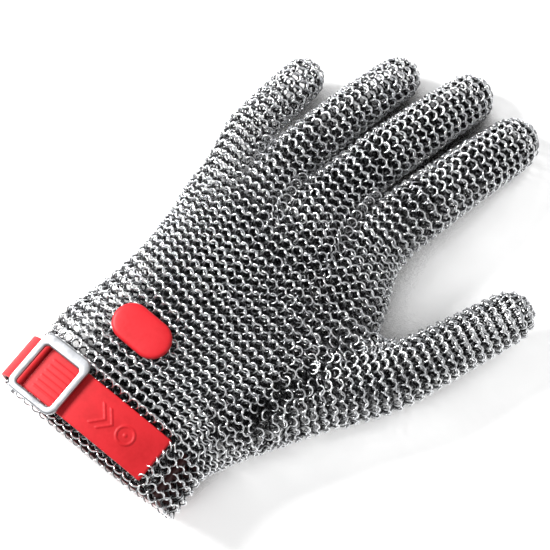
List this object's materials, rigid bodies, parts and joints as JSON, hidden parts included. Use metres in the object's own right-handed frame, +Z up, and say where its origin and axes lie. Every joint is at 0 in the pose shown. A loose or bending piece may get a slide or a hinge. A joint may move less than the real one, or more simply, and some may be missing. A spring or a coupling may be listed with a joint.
{
  "type": "chain mail glove",
  "caption": "Left-hand five-finger cut-resistant glove of welded ring mail with jointed fingers, a moulded wrist strap, a steel frame buckle and an oval size badge.",
  "frame": {"origin": "middle of the palm's flat underside, where the glove rests; the middle of the cuff opening is 72 mm behind it and 8 mm to the thumb side", "axes": "+Y from the cuff to the fingertips, +X to the thumb side, +Z up, out of the back of the hand"},
  "size_m": [0.1498, 0.2308, 0.0457],
  "materials": {
    "mail": "bright welded stainless rings",
    "buckle_steel": "polished stainless",
    "rivet_steel": "plain stainless",
    "strap_plastic": "red moulded plastic with a satin face",
    "badge_plastic": "smooth red plastic"
  },
  "bodies": {
    "hand": {"hand_mail": "mail", "strap_band": "strap_plastic", "buckle_pin": "buckle_steel", "badge_face": "badge_plastic", "badge_back": "rivet_steel", "badge_rivet_outer": "rivet_steel", "badge_rivet_inner": "rivet_steel"},
    "little_proximal": {"little_proximal_mail": "mail"},
    "little_middle": {"little_middle_mail": "mail"},
    "little_tip": {"little_tip_mail": "mail"},
    "ring_proximal": {"ring_proximal_mail": "mail"},
    "ring_middle": {"ring_middle_mail": "mail"},
    "ring_tip": {"ring_tip_mail": "mail"},
    "middle_proximal": {"middle_proximal_mail": "mail"},
    "middle_middle": {"middle_middle_mail": "mail"},
    "middle_tip": {"middle_tip_mail": "mail"},
    "index_proximal": {"index_proximal_mail": "mail"},
    "index_middle": {"index_middle_mail": "mail"},
    "index_tip": {"index_tip_mail": "mail"},
    "thumb_base": {"thumb_base_mail": "mail"},
    "thumb_proximal": {"thumb_proximal_mail": "mail"},
    "thumb_tip": {"thumb_tip_mail": "mail"},
    "buckle": {"buckle_frame": "buckle_steel"},
    "strap_end": {"strap_tongue": "strap_plastic"}
  },
  "joints": [
    {"name": "little_knuckle", "type": "hinge", "parent": "hand", "child": "little_proximal", "pos_m": [-0.048, 0.035, 0.018], "axis": [-0.9914, -0.1305, 0], "range_deg": [-6, 64]},
    {"name": "little_middle_joint", "type": "hinge", "parent": "little_proximal", "child": "little_middle", "pos_m": [-0.05202, 0.06557, 0.02124], "axis": [-0.9914, -0.1305, 0], "range_deg": [-16, 76]},
    {"name": "little_tip_joint", "type": "hinge", "parent": "little_middle", "child": "little_tip", "pos_m": [-0.05434, 0.08314, 0.01811], "axis": [-0.9914, -0.1305, 0], "range_deg": [-8, 38]},
    {"name": "ring_knuckle", "type": "hinge", "parent": "hand", "child": "ring_proximal", "pos_m": [-0.0305, 0.044, 0.018], "axis": [-1, 0, 0], "range_deg": [-6, 72]},
    {"name": "ring_middle_joint", "type": "hinge", "parent": "ring_proximal", "child": "ring_middle", "pos_m": [-0.0305, 0.08378, 0.02218], "axis": [-1, 0, 0], "range_deg": [-16, 76]},
    {"name": "ring_tip_joint", "type": "hinge", "parent": "ring_middle", "child": "ring_tip", "pos_m": [-0.0305, 0.1084, 0.01784], "axis": [-1, 0, 0], "range_deg": [-8, 38]},
    {"name": "middle_knuckle", "type": "hinge", "parent": "hand", "child": "middle_proximal", "pos_m": [-0.0085, 0.049, 0.018], "axis": [-0.999, 0.0436, 0], "range_deg": [-6, 72]},
    {"name": "middle_middle_joint", "type": "hinge", "parent": "middle_proximal", "child": "middle_middle", "pos_m": [-0.00659, 0.09272, 0.0226], "axis": [-0.999, 0.0436, 0], "range_deg": [-16, 76]},
    {"name": "middle_tip_joint", "type": "hinge", "parent": "middle_middle", "child": "middle_tip", "pos_m": [-0.00543, 0.11928, 0.01791], "axis": [-0.999, 0.0436, 0], "range_deg": [-8, 38]},
    {"name": "index_knuckle", "type": "hinge", "parent": "hand", "child": "index_proximal", "pos_m": [0.018, 0.05, 0.018], "axis": [-0.9986, 0.0523, 0], "range_deg": [-6, 72]},
    {"name": "index_middle_joint", "type": "hinge", "parent": "index_proximal", "child": "index_middle", "pos_m": [0.02029, 0.0937, 0.0226], "axis": [-0.9986, 0.0523, 0], "range_deg": [-16, 76]},
    {"name": "index_tip_joint", "type": "hinge", "parent": "index_middle", "child": "index_tip", "pos_m": [0.02168, 0.12025, 0.01791], "axis": [-0.9986, 0.0523, 0], "range_deg": [-8, 38]},
    {"name": "thumb_root_swing", "type": "hinge", "parent": "hand", "child": "thumb_base", "pos_m": [0.038, -0.012, 0.018], "axis": [0, 0, -1], "range_deg": [-5, 20]},
    {"name": "thumb_knuckle", "type": "hinge", "parent": "thumb_base", "child": "thumb_proximal", "pos_m": [0.06397, 0.03603, 0.018], "axis": [-0.6318, 0.1182, 0.766], "range_deg": [-8, 40]},
    {"name": "thumb_tip_joint", "type": "hinge", "parent": "thumb_proximal", "child": "thumb_tip", "pos_m": [0.06997, 0.06807, 0.018], "axis": [-0.6318, 0.1182, 0.766], "range_deg": [0, 70]},
    {"name": "buckle_flip", "type": "hinge", "parent": "hand", "child": "buckle", "pos_m": [-0.02933, -0.06721, 0.03577], "axis": [0.1736, -0.9848, 0], "range_deg": [0, 95]},
    {"name": "strap_lift", "type": "hinge", "parent": "hand", "child": "strap_end", "pos_m": [0.03264, -0.05628, 0.03997], "axis": [-0.1736, 0.9848, 0], "range_deg": [0, 9.5]}
  ],
  "couplings": [
    {"joint": "little_tip_joint", "follows": "little_middle_joint", "ratio": 0.5},
    {"joint": "ring_tip_joint", "follows": "ring_middle_joint", "ratio": 0.5},
    {"joint": "middle_tip_joint", "follows": "middle_middle_joint", "ratio": 0.5},
    {"joint": "index_tip_joint", "follows": "index_middle_joint", "ratio": 0.5},
    {"joint": "strap_lift", "follows": "buckle_flip", "ratio": 0.1}
  ]
}
